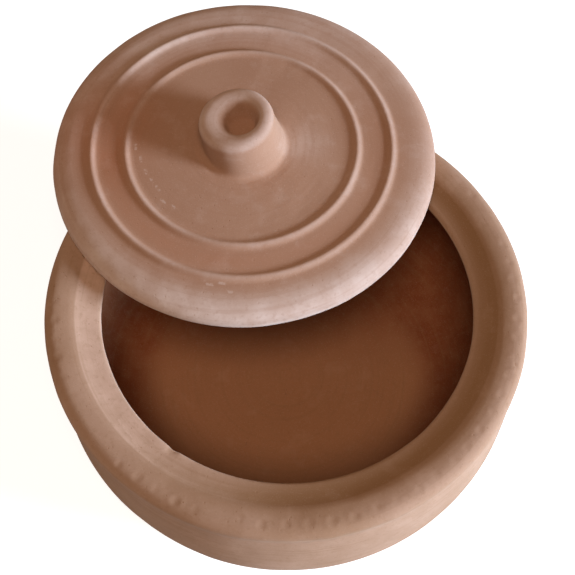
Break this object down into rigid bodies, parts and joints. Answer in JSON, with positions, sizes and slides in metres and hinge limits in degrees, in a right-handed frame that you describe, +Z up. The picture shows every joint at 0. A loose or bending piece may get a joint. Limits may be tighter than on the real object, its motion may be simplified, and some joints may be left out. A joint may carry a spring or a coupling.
{
  "type": "unglazed clay pot with lid",
  "caption": "Low round unglazed clay pot with a rolled lip and a collar sloping down to the mouth, and a loose beaded lid with a hollow knob, pushed back across the lip.",
  "frame": {"origin": "centre of the pot's flat foot, on the pot's axis", "axes": "+Z up along the pot's axis, +Y towards the side that the lid is pushed to, +X to the right seen from the open side"},
  "size_m": [0.2541, 0.3184, 0.1491],
  "materials": {
    "pot_clay": "unglazed, dry, slightly rough",
    "lid_clay": "unglazed, dry, slightly rough"
  },
  "bodies": {
    "root": {"pot": "pot_clay", "lid": "lid_clay"}
  },
  "joints": []
}
